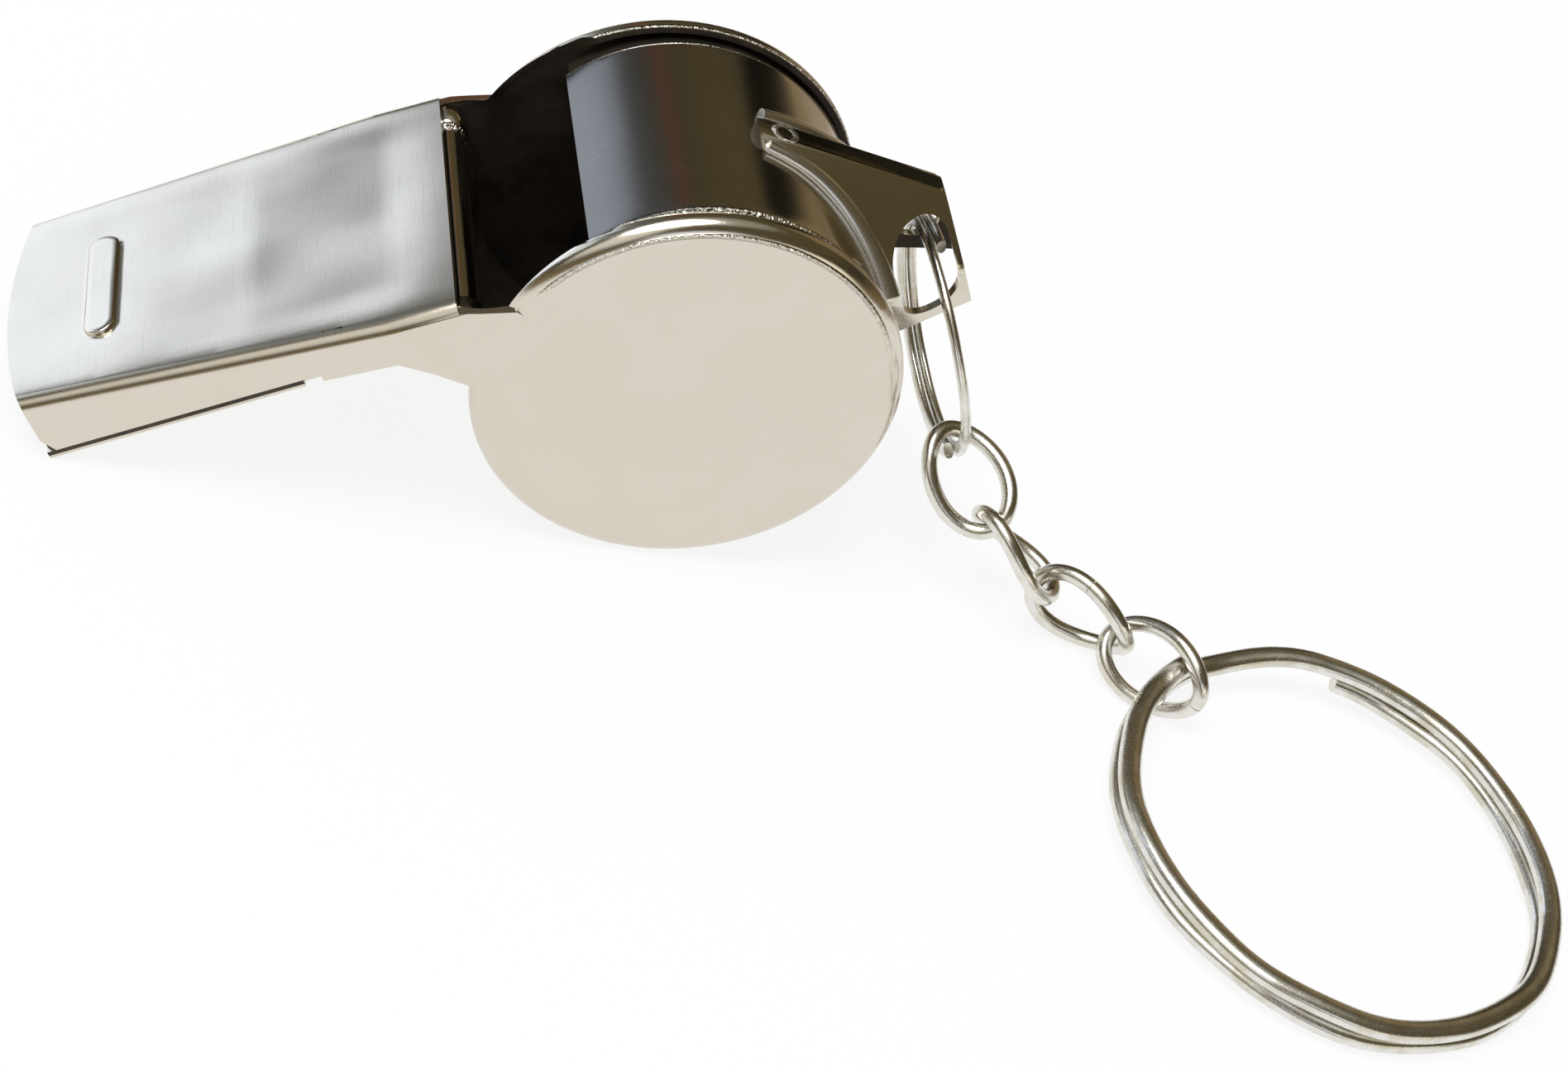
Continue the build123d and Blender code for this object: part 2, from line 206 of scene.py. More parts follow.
# The studio's dome in metres, its lower edge seen from the table, and its paint. The patches are laid on in this
# order: azimuths with their softness, elevations with theirs, in degrees, and the colour.
dome_radius = 1.4
dome_foot_angle = 0.6
all_round = (-400.0, 400.0, 1.0)
low_gloom = (0.035, 0.030, 0.022)
dome_patches = {
    "brown_gloom": (all_round, (27.0, 400.0, 9.0), (0.095, 0.074, 0.036)),
    "brown_front": ((-400.0, 20.0, 12.0), (-400.0, 14.0, 8.0), (0.20, 0.15, 0.07)),
    "black_corner": ((55.5, 64.5, 2.5), (9.0, 31.0, 3.0), (0.006, 0.006, 0.005)),
    "corner_foot": ((30.0, 70.0, 6.0), (-400.0, 8.0, 1.5), (0.26, 0.20, 0.12)),
    "brown_wall": ((28.0, 54.0, 2.5), (9.0, 40.4, 2.0), (0.25, 0.185, 0.10)),
    "red_streak": ((99.0, 103.0, 1.5), (30.0, 39.0, 2.0), (0.28, 0.085, 0.05)),
    "grey_left": ((109.0, 400.0, 6.0), all_round, (0.15, 0.155, 0.15)),
    "window": ((115.0, 168.0, 4.0), (-400.0, 24.6, 2.0), (1.26, 1.39, 1.63)),
    "upper_pane": ((145.0, 176.0, 5.0), (22.0, 36.0, 3.0), (0.90, 0.95, 1.05)),
    "soft_box": ((-165.0, -112.0, 8.0), (22.0, 66.0, 8.0), (0.80, 0.78, 0.72)),
    "ceiling": (all_round, (64.0, 400.0, 5.0), (0.30, 0.29, 0.24)),
    "low_box": ((-84.0, -38.0, 6.0), (4.0, 18.0, 3.0), (1.30, 1.22, 1.04)),
    "second_box": ((-104.0, -76.0, 5.0), (15.0, 27.0, 4.0), (1.10, 1.17, 1.27)),
}

# The whistle's own frame: drum axis along Y, mouth at -X, top plate square to Z.
pitch = atan2(floor_front_height, mouth_reach) + asin(drum_radius / hypot(mouth_reach, floor_front_height))
cheek_middles = [Vector(m["pos_m"]) for m in record["mounts"] if m["name"] in ("near_cheek", "far_cheek")]
drum_middle = (cheek_middles[0] + cheek_middles[1]) / 2
table_origin = drum_middle - Vector((0, 0, drum_radius * mm))
rest = Matrix.Translation(drum_middle) @ Matrix.Rotation(-pitch, 4, "Y") @ Matrix.Scale(mm, 4)
unrest = rest.inverted()


def lug_rows():
    """The lug's long folds on its far side: each runs from the seat on the drum to the open end."""
    tip, foot = [Vector((sin(radians(a)), cos(radians(a)))) * band_radius for a in (lug_tip_angle, lug_foot_angle)]
    down = (foot - tip).normalized()
    top = tip - down * lug_tip_rise
    rows = []
    for (seat_drop, seat_width), (end_drop, end_width) in zip(lug_seat_rows, lug_end_rows):
        seat = Vector((top.x + down.x * seat_drop, seat_width / 2, top.y + down.y * seat_drop))
        rows.append((seat, Vector((drum_radius + lug_overhang, end_width / 2, lug_crest_height - end_drop))))
    return rows


class Socket:
    """A node's output that stands in Python sums; each sum adds a Math node."""

    def __init__(self, board, socket):
        self.board = board
        self.socket = socket

    def math(self, operation, *others):
        inputs = dict(enumerate((self, *others)))
        return self.board.add("ShaderNodeMath", {"operation": operation}, inputs)

    def other(self, name):
        """Another output of the same node."""
        return Socket(self.board, self.socket.node.outputs[name])

    def __add__(self, value):
        return self.math("ADD", value)

    def __radd__(self, value):
        return self.math("ADD", value)

    def __sub__(self, value):
        return self.math("SUBTRACT", value)

    def __rsub__(self, value):
        return self.board.add("ShaderNodeMath", {"operation": "SUBTRACT"}, {0: value, 1: self})

    def __mul__(self, value):
        return self.math("MULTIPLY", value)

    def __rmul__(self, value):
        return self.math("MULTIPLY", value)

    def __truediv__(self, value):
        return self.math("DIVIDE", value)

    def __pow__(self, value):
        return self.math("POWER", value)

    def above(self, edge, soft):
        """0 below the edge and 1 above it, with a soft step."""
        span = {"From Min": edge - soft, "From Max": edge + soft}
        return self.board.add("ShaderNodeMapRange", {"interpolation_type": "SMOOTHSTEP"}, {"Value": self, **span})


class Board:
    """The nodes of one tree, added a call at a time."""

    def __init__(self, tree):
        self.tree = tree

    def add(self, kind, settings=None, inputs=None, out=0):
        node = self.tree.nodes.new(kind)
        for name, value in (settings or {}).items():
            setattr(node, name, value)
        for key, value in (inputs or {}).items():
            if isinstance(value, Socket):
                self.tree.links.new(value.socket, node.inputs[key])
            else:
                node.inputs[key].default_value = value
        return Socket(self, node.outputs[out]) if node.outputs else node

    def mix(self, share, first, second):
        """A colour between two colours. A mixing node's sockets 6, 7 and its output 2 are the ones for colour."""
        first, second = [c if isinstance(c, Socket) else (*c, 1.0) for c in (first, second)]
        return self.add("ShaderNodeMix", {"data_type": "RGBA"}, {0: share, 6: first, 7: second}, 2)

    def noise(self, vector, scale, detail, rough=0.5):
        inputs = {"Vector": vector, "Scale": scale, "Detail": detail, "Roughness": rough}
        return self.add("ShaderNodeTexNoise", {"noise_dimensions": "3D"}, inputs)


class Finish(Board):
    """A material with one principled shader."""

    def __init__(self, name):
        self.material = bpy.data.materials.new(name)
        self.material.use_nodes = True
        super().__init__(self.material.node_tree)
        self.shader = self.tree.nodes["Principled BSDF"]

    def set(self, name, value):
        if isinstance(value, Socket):
            self.tree.links.new(value.socket, self.shader.inputs[name])
        else:
            self.shader.inputs[name].default_value = value

    def place(self, turn=(0, 0, 0), scale=(1, 1, 1)):
        """Object coordinates, turned and scaled."""
        coords = self.add("ShaderNodeTexCoord", out="Object")
        return self.add("ShaderNodeMapping", {}, {"Vector": coords, "Rotation": turn, "Scale": scale})

    def whistle(self):
        """Places in the whistle's own frame, in millimetres."""
        coords = self.add("ShaderNodeTexCoord", out="Object")
        move, turn, _ = unrest.decompose()
        inputs = {"Vector": coords, "Location": move, "Rotation": turn.to_euler(), "Scale": (1 / mm,) * 3}
        return self.add("ShaderNodeMapping", {}, inputs)

    def bump(self, height, distance, under=None):
        """The normal of a relief of this height, laid over another one if there is one."""
        inputs = {"Height": height, "Distance": distance, "Strength": 1.0}
        if under:
            inputs["Normal"] = under
        return self.add("ShaderNodeBump", {}, inputs)


def span(value, low, high, soft):
    """1 between two limits, falling to 0 outside them."""
    return value.above(low, soft) * (1 - value.above(high, soft))


def plate_marks(finish):
    """Heights of the soft-sided bar on the plate, and of the burr along the rims and the flanges."""
    place = finish.whistle()
    x = finish.add("ShaderNodeSeparateXYZ", {}, {"Vector": place})
    y = x.other("Y").math("ABSOLUTE")
    z = x.other("Z")
    radius = (x * x + z * z) ** 0.5
    rim = drum_radius - round_radius * 0.7
    border = half_width - flange_reach
    upper = z.above(0.5, 3.0)
    line = span(radius, rim - 0.06, rim + 0.12, burr_soft) * y.above(half_width - 0.3, burr_soft) * upper
    edge = span(y, border - burr_inside, border + burr_outside, burr_soft) * radius.above(band_radius, 0.1)
    on_drum = x.above(-4.5, 1.5) * (1 - radius.above(drum_radius + 0.2, 0.05))
    burr = line.math("MAXIMUM", edge) * on_drum * finish.noise(place, 4.5, 2.0, 0.7)
    along = (y - (bead_length - bead_width) / 2).math("MAXIMUM", 0.0)
    aside = x + bead_reach
    away = (along * along + aside * aside) ** 0.5
    bar = (1 - away.above(bead_width / 2 - 0.05, bar_round)) * z.above(plate_height - 0.2, 0.1)
    return (bar, bar_height), (burr, burr_height)


def lug_marks(finish):
    """Height of the burr in a ring round the lug's dimple."""
    place = finish.whistle()
    x = finish.add("ShaderNodeSeparateXYZ", {}, {"Vector": place})
    seat, end = lug_rows()[0]
    along = Vector((end.x - seat.x, 0, end.z - seat.z)).normalized()
    spot = Vector((seat.x, 0, seat.z)) + along * lug_dimple_reach
    far = (x - spot.x) * along.x + (x.other("Z") - spot.z) * along.z
    y = x.other("Y")
    ring = span((far * far + y * y) ** 0.5, lug_dimple / 2 - 0.1, lug_dimple / 2 + 0.16, burr_soft)
    return ((ring * finish.noise(place, 5.0, 2.0, 0.7), 0.3),)


def nickel(name, bright, dull, rough, patch, dent, scratch_turn, scratch, marks=None):
    """Bright plate: blotchy tint, uneven polish, broad soft dents, fine rubbing scratches and its own marks."""
    finish = Finish(name)
    coords = finish.place()
    blotch = finish.noise(coords, 160.0, 4.0, 0.6)
    fine = finish.noise(coords, 5200.0, 3.0, 0.6)
    streaks = finish.noise(finish.place(scratch_turn, (1.0, 0.035, 1.0)), 9000.0, 2.0, 0.6)
    lines = streaks.above(0.63, 0.05)
    tint = finish.mix(blotch.above(0.52, 0.2) * patch, bright, dull)
    finish.set("Base Color", tint)
    finish.set("Metallic", 1.0)
    finish.set("Roughness", rough + blotch * 0.06 + fine * 0.05 + lines * scratch * 0.12)
    swell = finish.noise(coords, 95.0, 1.5, 0.4)
    broad = finish.bump(swell, dent * mm)
    rub = finish.bump(fine * 0.5 - lines * scratch, 0.0016 * mm, broad)
    for height, distance in marks(finish) if marks else ():
        rub = finish.bump(height, distance * mm, rub)
    finish.set("Normal", rub)
    return finish.material


def painted_shade_finish():
    """Painted shade: a dull, dark, mottled metal for faces that lie in shade, such as inner faces and sunk
    borders.
    """
    finish = Finish("painted_shade_inside")
    coords = finish.place()
    shade_mottle = finish.noise(coords, 420.0, 5.0, 0.6)
    finish.set("Base Color", finish.mix(shade_mottle.above(0.5, 0.25), (0.040, 0.034, 0.028), (0.085, 0.066, 0.045)))
    finish.set("Metallic", 0.7)
    finish.set("Roughness", 0.42 + shade_mottle * 0.3)
    finish.set("Normal", finish.bump(finish.noise(coords, 2600.0, 3.0), 0.01 * mm))
    return finish.material


def cork():
    """Pressed cork: brown grains with dark pores."""
    finish = Finish("cork_grain")
    coords = finish.place()
    cells = finish.add("ShaderNodeTexVoronoi", {"feature": "F1"}, {"Vector": coords, "Scale": 900.0}, "Distance")
    grain = finish.noise(coords, 700.0, 5.0, 0.65)
    pores = finish.noise(coords, 1500.0, 3.0, 0.5).above(0.62, 0.05)
    tone = finish.mix(grain.above(0.5, 0.3), (0.33, 0.19, 0.10), (0.16, 0.085, 0.045))
    finish.set("Base Color", finish.mix(pores, tone, (0.035, 0.02, 0.012)))
    finish.set("Roughness", 0.72 + grain * 0.2)
    finish.set("Normal", finish.bump(cells * 0.6 + grain - pores, 0.12 * mm))
    return finish.material


def drum_finish():
    """The drum's strip: rubbing marks run round it near the lip, and the plate is smooth behind."""
    finish = Finish("rubbed_band")
    along = finish.add("ShaderNodeUVMap", {"uv_map": "strip"})
    parts = finish.add("ShaderNodeSeparateXYZ", {}, {"Vector": along})
    far = parts.other("X")
    coords = finish.place()
    stretched = finish.add("ShaderNodeMapping", {}, {"Vector": along, "Scale": (0.02, 1.0, 1.0)})
    hair = finish.noise(stretched, 14000.0, 3.0, 0.65)
    shorter = finish.add("ShaderNodeMapping", {}, {"Vector": along, "Scale": (0.3, 1.0, 1.0)})
    broken = finish.noise(shorter, 700.0, 3.0)
    near_lip = 1 - far.above(5.5 * mm, 4.0 * mm)
    lines = hair.above(0.64, 0.04) * broken.above(0.52, 0.1) * near_lip
    blotch = finish.noise(coords, 260.0, 4.0, 0.6)
    plate = finish.mix(blotch.above(0.5, 0.25), (0.73, 0.69, 0.61), (0.66, 0.61, 0.53))
    worn = finish.mix(lines, (0.125, 0.125, 0.126), (0.38, 0.38, 0.39))
    finish.set("Base Color", finish.mix(near_lip * 0.9, plate, worn))
    finish.set("Metallic", 1.0)
    finish.set("Roughness", 0.12 + near_lip * 0.12 + blotch * 0.05 + lines * 0.15)
    swell = finish.noise(coords, 130.0, 1.5, 0.4)
    broad = finish.bump(swell, 0.02 * mm)
    shoulder = inner_half - border_width
    side = parts.other("Y").math("ABSOLUTE")
    edge = span(side, (shoulder - burr_outside) * mm, (shoulder + burr_inside) * mm, burr_soft * mm)
    broad = finish.bump(edge * finish.noise(coords, 4500.0, 2.0, 0.7), burr_height * mm, broad)
    finish.set("Normal", finish.bump(hair * near_lip * 0.6 - lines, 0.0014 * mm, broad))
    return finish.material


def wire_finish(name, bright, dull, rough, dent):
    """Drawn and plated wire: soft dents, dull patches and fine pitting."""
    finish = Finish(name)
    coords = finish.place()
    patches = finish.noise(coords, 700.0, 3.0, 0.6)
    pits = finish.noise(coords, 9000.0, 2.0, 0.6)
    finish.set("Base Color", finish.mix(patches.above(0.53, 0.14), bright, dull))
    finish.set("Metallic", 1.0)
    finish.set("Roughness", rough + patches * 0.1 + pits.above(0.6, 0.08) * 0.1)
    broad = finish.bump(finish.noise(coords, 520.0, 1.5), dent * mm)
    finish.set("Normal", finish.bump(pits, 0.002 * mm, broad))
    return finish.material


plate_metal = nickel(
    "nickel_plate",
    bright=(0.70, 0.652, 0.56),
    dull=(0.67, 0.615, 0.515),
    rough=0.12,
    patch=0.5,
    dent=0.035,
    scratch_turn=(0, 0, 0.5),
    scratch=0.18,
    marks=plate_marks,
)
lug_metal = nickel(
    "folded_lug_plate",
    bright=(0.70, 0.655, 0.56),
    dull=(0.60, 0.55, 0.44),
    rough=0.11,
    patch=0.6,
    dent=0.03,
    scratch_turn=(0.6, 0, 0),
    scratch=0.2,
    marks=lug_marks,
)
# The lug's rolled feet: the lug's plate with a paler, whiter tint, which is a painted highlight, and rougher so
# the shine spreads
roll_metal = nickel(
    "rolled_feet_painted_highlight",
    bright=(0.74, 0.72, 0.68),
    dull=(0.66, 0.62, 0.54),
    rough=0.2,
    patch=0.6,
    dent=0.03,
    scratch_turn=(0.6, 0, 0),
    scratch=0.2,
)
floor_metal = nickel(
    "floor_plate",
    bright=(0.70, 0.655, 0.56),
    dull=(0.62, 0.56, 0.46),
    rough=0.2,
    patch=0.8,
    dent=0.03,
    scratch_turn=(0, 0, 0),
    scratch=0.6,
)
# Painted shade for the faces that lie in shade, used in place of the plated metal
painted_shade_metal = painted_shade_finish()
band_metal = drum_finish()
cork_brown = cork()
link_metal = wire_finish("link_wire_plate", (0.80, 0.78, 0.73), (0.70, 0.67, 0.58), rough=0.17, dent=0.03)
ring_metal = wire_finish("ring_wire_plate", (0.80, 0.785, 0.75), (0.66, 0.63, 0.53), rough=0.2, dent=0.05)


def add_object(name, mesh, *materials):
    """A mesh as an object in the scene, with its materials."""
    piece = bpy.data.objects.new(name, mesh)
    bpy.context.scene.collection.objects.link(piece)
    for material in materials:
        mesh.materials.append(material)
    return piece


def smooth_sheet(mesh):
    """Smooth shading with creases at sharp folds."""
    mesh.polygons.foreach_set("use_smooth", [True] * len(mesh.polygons))
    mesh.set_sharp_from_angle(angle=radians(crease_angle))


def merged_copy(node):
    """A node's triangles as one joined mesh, flat faces whole again."""
    form = bmesh.new()
    form.from_mesh(frame["nodes"][node].data)
    bmesh.ops.remove_doubles(form, verts=form.verts, dist=0.002 * mm)
    bmesh.ops.dissolve_limit(form, angle_limit=radians(0.3), verts=form.verts, edges=form.edges)
    return form


def ease_edges(piece):
    """Slightly rounded edges at the sharp folds."""
    bevel = piece.modifiers.new("edges", "BEVEL")
    bevel.width = sheet_edge * mm
    bevel.segments = 3
    bevel.limit_method = "ANGLE"
    bevel.angle_limit = radians(40)
    bevel.use_clamp_overlap = True


def keep_flat(piece):
    """Flat faces that stay flat in the shading."""
    weigh = piece.modifiers.new("flat_faces", "WEIGHTED_NORMAL")
    weigh.keep_sharp = True


def pressed(x, y):
    """How far the top plate is dished or swelled, in millimetres, at a place in the whistle's frame."""
    side = (half_width - abs(y)) / half_width
    back = -x - window_front
    rim = min(1.0, side * 3.0) * min(1.0, max(0.0, back / 3.0))
    dish = dish_depth * sin(pi * min(1.0, max(0.0, back / dish_length))) * cos(y / half_width * pi / 2)
    ripple = ripple_height * noise.noise(Vector((x * ripple_scale, y * ripple_scale, 3.1)))
    narrowing = (half_width - mouth_width / 2) * max(0.0, (-x - taper_start) / (mouth_reach - taper_start))
    roll = min(1.0, max(0.0, 1 - (half_width - narrowing - abs(y)) / roll_width))
    return rim * (ripple - dish) - roll_drop * roll * roll


def turn_rims(form):
    """Makes each cheek's rim an even quarter round, with the flat and the flange reaching further."""
    for vert in form.verts:
        place = unrest @ vert.co
        radius = hypot(place.x, place.z)
        if radius > drum_radius - sheet - 0.1 and abs(abs(place.y) - half_width + flange_width) < 0.01:
            vert.co = rest @ Vector((place.x, copysign(half_width - flange_reach, place.y), place.z))
        out = (radius - drum_radius + rim_height) / rim_height
        back = (abs(place.y) - half_width + rim_depth) / rim_depth
        if out > -0.01 and back > -0.01 and abs(hypot(out, back) - 1) < 0.02:
            turn = atan2(out, back)
            share = (drum_radius - round_radius * (1 - sin(turn))) / radius
            depth = half_width - round_depth * (1 - cos(turn))
            vert.co = rest @ Vector((place.x * share, copysign(depth, place.y), place.z * share))


def ease_flanges(form):
    """Rounds the inner edges of the turned-over flanges."""

    def on_edge(vert):
        place = unrest @ vert.co
        level = abs(hypot(place.x, place.z) - drum_radius)
        return max(level, abs(abs(place.y) - half_width + flange_reach)) < 0.01

    edges = [e for e in form.edges if all(on_edge(v) for v in e.verts)]
    bmesh.ops.bevel(form, geom=edges, offset=flange_edge * mm, segments=3, profile=0.5, affect="EDGES")


def body_shell():
    """Top plate, walls and cheeks: the source's sheet with the plate softly dished."""
    form = merged_copy("body_shell")
    for face in form.faces:
        face.tag = abs((unrest.to_3x3() @ face.normal).normalized().z) > 0.99
    plate = [f for f in form.faces if f.tag and (unrest @ f.calc_center_median()).z > plate_height - 2 * sheet]
    across = rest.to_3x3() @ Vector((1, 0, 0))
    sideways = rest.to_3x3() @ Vector((0, 1, 0))
    for normal, low, high in ((across, -mouth_reach, -window_front), (sideways, -half_width, half_width)):
        count = int((high - low) / plate_step)
        for i in range(1, count):
            reach = low + (high - low) * i / count
            point = rest @ (Vector((reach, 0, 0)) if normal is across else Vector((0, reach, 0)))
            faces = [f for f in plate if f.is_valid]
            edges = {e for f in faces for e in f.edges}
            verts = {v for f in faces for v in f.verts}
            cut = bmesh.ops.bisect_plane(
                form, geom=[*faces, *edges, *verts], dist=1e-7, plane_co=point, plane_no=normal.normalized()
            )
            halves = [g for g in cut["geom"] if isinstance(g, bmesh.types.BMFace)]
            plate = [f for f in {*faces, *halves} if f.is_valid]
    turn_rims(form)
    up = (rest.to_3x3() @ Vector((0, 0, 1))).normalized()
    on_plate = {v for f in plate for v in f.verts}
    for vert in form.verts:
        place = unrest @ vert.co
        on_fold = place.x < -window_front + 0.1 and place.z > plate_height - plate_fold - 0.01
        if vert in on_plate or on_fold:
            vert.co += up * pressed(place.x, place.y) * mm
    ease_flanges(form)

    # Faces turned into the whistle and the plate's underside get the painted-shade metal
    def inside(middle, normal):
        facing_in = normal.y * middle.y < 0 and abs(normal.y) > 0.9 and abs(middle.y) < half_width - sheet / 2
        return facing_in or (normal.z < -0.9 and middle.z > plate_height - 2 * sheet)

    piece = folded_piece(form, "pressed_shell", plate_metal, inside)
    ease_edges(piece)
    keep_flat(piece)
    return piece


def strip_line():
    """The drum strip's outer face in the side view, from the lip back, under and up to the air slit."""
    bend_at = radians(90 - lip_bend_angle)
    lip_radius = band_radius - lip_bend_drop
    lip_middle = Vector((cos(bend_at), sin(bend_at))) * lip_bend_drop
    lip_at = acos((-lip_reach - lip_middle.x) / lip_radius)
    line = []
    for i in range(lip_points):
        angle = lip_at + (bend_at - lip_at) * i / lip_points
        line.append(lip_middle + Vector((cos(angle), sin(angle))) * lip_radius)
    low = radians(180 - notch_angle) - 2 * pi
    for i in range(band_points + 1):
        angle = bend_at + (low - bend_at) * i / band_points
        line.append(Vector((cos(angle), sin(angle))) * band_radius)
    front_x = -slit_reach - sheet
    bend = fold_radius - sheet
    floor_level = floor_front_height + floor_slope * (front_x + mouth_reach)
    top = Vector((front_x, floor_level - bend + fold_rise))
    start = line[-1]
    line += [start.lerp(top, (i + 1) / front_points) for i in range(front_points)]
    for i in range(fold_points):
        angle = pi / 2 * (i + 1) / fold_points
        line.append(top + Vector((cos(angle) - 1, sin(angle))) * bend)
    line.append(line[-1] + Vector((-fold_radius, -fold_rise)))
    return line


def drum_strip():
    """The strip round the drum as a thick sheet with eased edges and its own length for the rubbing marks; its
    sunk borders and its inner face up to the fold are painted with shade.
    """
    line = strip_line()
    count = len(line)
    inward = []
    for i in range(count):
        run = (line[min(i + 1, count - 1)] - line[max(i - 1, 0)]).normalized()
        inward.append(Vector((run.y, -run.x)))
    shoulder = inner_half - border_width
    border = [(inner_half, border_sink), *((shoulder + out, sink) for out, sink in border_rows)]
    rows = [(-y, sink) for y, sink in border]
    rows += [((shoulder - flat_inset) * (2 * i / (flat_rows - 1) - 1), 0) for i in range(flat_rows)]
    rows += reversed(border)
    # The inner face is painted with shade up to the fold at the air slit, which keeps the band's metal
    painted_shade_until = count - fold_points - 4
    form = bmesh.new()
    uv = form.loops.layers.uv.new("strip")
    length = [0.0]
    for i in range(1, count):
        length.append(length[-1] + (line[i] - line[i - 1]).length)
    grids = []
    for depth_sign in (0, 1):
        grid = []
        for y, sink in rows:
            row = []
            for i, point in enumerate(line):
                place = point + inward[i] * (sink + sheet * depth_sign)
                row.append(form.verts.new(rest @ Vector((place.x, y, place.y))))
            grid.append(row)
        grids.append(grid)
    outer, inner = grids

    def quad(corners, stations, slot):
        face = form.faces.new(corners)
        face.material_index = slot
        face.smooth = True
        for loop, (i, j) in zip(face.loops, stations):
            loop[uv].uv = (length[i] * mm, rows[j][0] * mm)

    for j in range(len(rows) - 1):
        for i in range(count - 1):
            stations = [(i, j), (i + 1, j), (i + 1, j + 1), (i, j + 1)]
            # The sunk border rows get painted shade on their outer face
            sunk = min(rows[j][1], rows[j + 1][1]) > border_sink / 2
            quad([outer[b][a] for a, b in stations], stations, 1 if sunk else 0)
            stations.reverse()
            quad([inner[b][a] for a, b in stations], stations, 0 if i > painted_shade_until else 1)
    last = len(rows) - 1
    for i in range(count - 1):
        quad([outer[0][i], inner[0][i], inner[0][i + 1], outer[0][i + 1]], [(i, 0)] * 4, 0)
        quad([outer[last][i + 1], inner[last][i + 1], inner[last][i], outer[last][i]], [(i, last)] * 4, 0)
    for j in range(last):
        quad([outer[j][0], outer[j + 1][0], inner[j + 1][0], inner[j][0]], [(0, j)] * 4, 0)
        end = count - 1
        quad([inner[j][end], inner[j + 1][end], outer[j + 1][end], outer[j][end]], [(end, j)] * 4, 0)
    bmesh.ops.recalc_face_normals(form, faces=form.faces)
    mesh = bpy.data.meshes.new("drum_strip")
    form.to_mesh(mesh)
    form.free()
    mesh.set_sharp_from_angle(angle=radians(strip_crease_angle))
    return add_object("drum_strip", mesh, band_metal, painted_shade_metal)


def round_ridges(form):
    """Rounds the lug's outer folds, which lie on the lines between its seat and its open end."""

    def on_fold(vert, row):
        place = unrest @ vert.co
        place.y = abs(place.y)
        return (place - intersect_point_line(place, *row)[0]).length < 0.02

    edges = [e for row in lug_rows() for e in form.edges if all(on_fold(v, row) for v in e.verts)]
    edges = [e for e in edges if (unrest @ e.verts[0].co).y * (unrest @ e.verts[1].co).y > 0]
    bmesh.ops.bevel(form, geom=edges, offset=ridge_round * mm, segments=5, profile=0.5, affect="EDGES")


def lug_foot(side):
    """The line where one of the lug's walls meets the drum strip, from the tip down."""
    (seat_top, end_top), (seat_knee, end_knee) = lug_rows()[1:]
    line = []
    for i in range(foot_points):
        seat = seat_top.lerp(seat_knee, i / (foot_points - 1))
        end = end_top.lerp(end_knee, i / (foot_points - 1))
        low, high = 0.0, 1.0
        for _ in range(foot_halvings):
            middle = (low + high) / 2
            place = seat.lerp(end, middle)
            low, high = (middle, high) if hypot(place.x, place.z) < band_radius else (low, middle)
        place = seat.lerp(end, high)
        share = (band_radius + foot_roll_rise) / hypot(place.x, place.z)
        line.append(rest @ Vector((place.x * share, place.y * side, place.z * share)))
    return line


def folded_piece(form, name, material, is_dark):
    """A folded piece of sheet from its form, with the dark painted-shade metal where the rule on a face's middle
    and normal says so.
    """
    mesh = bpy.data.meshes.new(name)
    form.to_mesh(mesh)
    form.free()
    smooth_sheet(mesh)
    piece = add_object(name, mesh, material, painted_shade_metal)
    turn = unrest.to_3x3()
    for face in mesh.polygons:
        dark = is_dark(unrest @ face.center, (turn @ face.normal).normalized())
        face.material_index = 1 if dark else 0
    return piece


def floor_sheet():
    """The mouthpiece's floor, ended at the fold of the drum strip; its wings are painted with shade down to a
    lower edge of plain plate.
    """
    form = merged_copy("mouthpiece_floor")
    for vert in form.verts:
        place = unrest @ vert.co
        place.x = min(place.x, -slit_reach - fold_radius)
        vert.co = rest @ place
    way = rest.to_3x3() @ Vector((-floor_slope, 0, 1))
    point = rest @ Vector((-mouth_reach, 0, floor_front_height + wing_shade_start))
    parts = [*form.verts, *form.edges, *form.faces]
    bmesh.ops.bisect_plane(form, geom=parts, dist=1e-7, plane_co=point, plane_no=way.normalized())

    # Wing faces above this height get the painted-shade metal
    def on_wing(middle, normal):
        level = middle.z - floor_front_height - (middle.x + mouth_reach) * floor_slope
        return abs(normal.y) > 0.9 and level > wing_shade_start

    piece = folded_piece(form, "floor_sheet", floor_metal, on_wing)
    ease_edges(piece)
    keep_flat(piece)
    return piece


def folded_lug():
    """The lug with its ridges rounded and its inside painted with shade."""
    form = merged_copy("lanyard_lug")
    round_ridges(form)

    # Faces turned into the lug get the painted-shade metal
    def inside(middle, normal):
        return normal.y * middle.y < -0.05 or (abs(normal.y) < 0.3 and normal.z < -0.3)

    piece = folded_piece(form, "folded_lug", lug_metal, inside)
    keep_flat(piece)
    return piece


def cork_pea():
    """The pea: a cork ball with a slightly lumpy skin."""
    low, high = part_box("pea")
    middle = (low + high) / 2
    form = bmesh.new()
    bmesh.ops.create_icosphere(form, subdivisions=5, radius=1.0)
    for vert in form.verts:
        way = vert.co.normalized()
        lump = sum(noise.noise(way * scale) * share for scale, share in pea_lumps) - pea_shrink
        vert.co = middle + way * (1.0 + lump) * pea_diameter / 2 * mm
    for face in form.faces:
        face.smooth = True
    mesh = bpy.data.meshes.new("cork_pea")
    form.to_mesh(mesh)
    form.free()
    return add_object("cork_pea", mesh, cork_brown)


